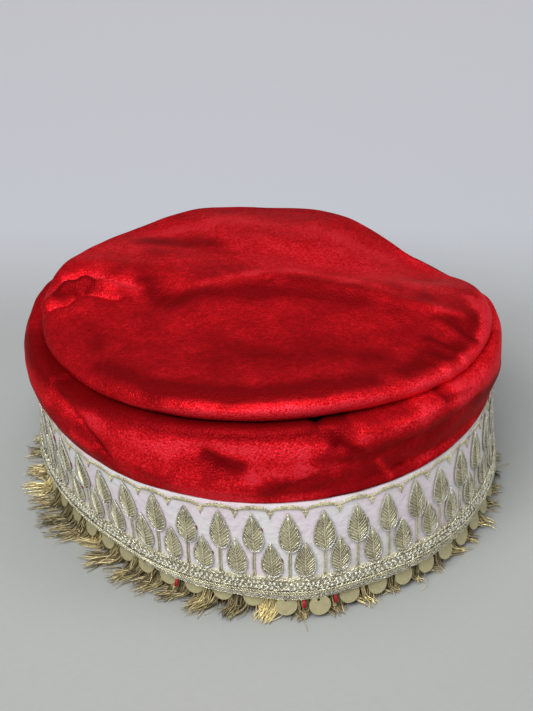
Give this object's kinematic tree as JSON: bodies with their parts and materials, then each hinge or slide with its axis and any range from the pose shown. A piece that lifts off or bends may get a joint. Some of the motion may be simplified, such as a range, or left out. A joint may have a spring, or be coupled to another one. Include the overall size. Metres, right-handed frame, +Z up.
{
  "type": "embroidered velvet cap",
  "caption": "Round soft velvet cap with a loose crown, an embroidered satin band, a metallic braid, hanging sequins and a tassel fringe.",
  "frame": {"origin": "on the surface that the cap stands on, under the middle of the whole cap's box", "axes": "+Z up through the crown; -Y towards the front of the cap; +X to the wearer's left"},
  "size_m": [0.1943, 0.1983, 0.091],
  "materials": {
    "velvet": "crushed pile",
    "satin": "satin",
    "gold_braid": "metallic thread",
    "sequin": "metallised satin",
    "tassel_thread": "metallic thread"
  },
  "bodies": {
    "root": {"velvet_wall": "velvet", "velvet_top": "velvet", "satin_band": "satin", "gold_braid": "gold_braid", "sequin_row": "sequin", "tassel_fringe": "tassel_thread"}
  },
  "joints": []
}
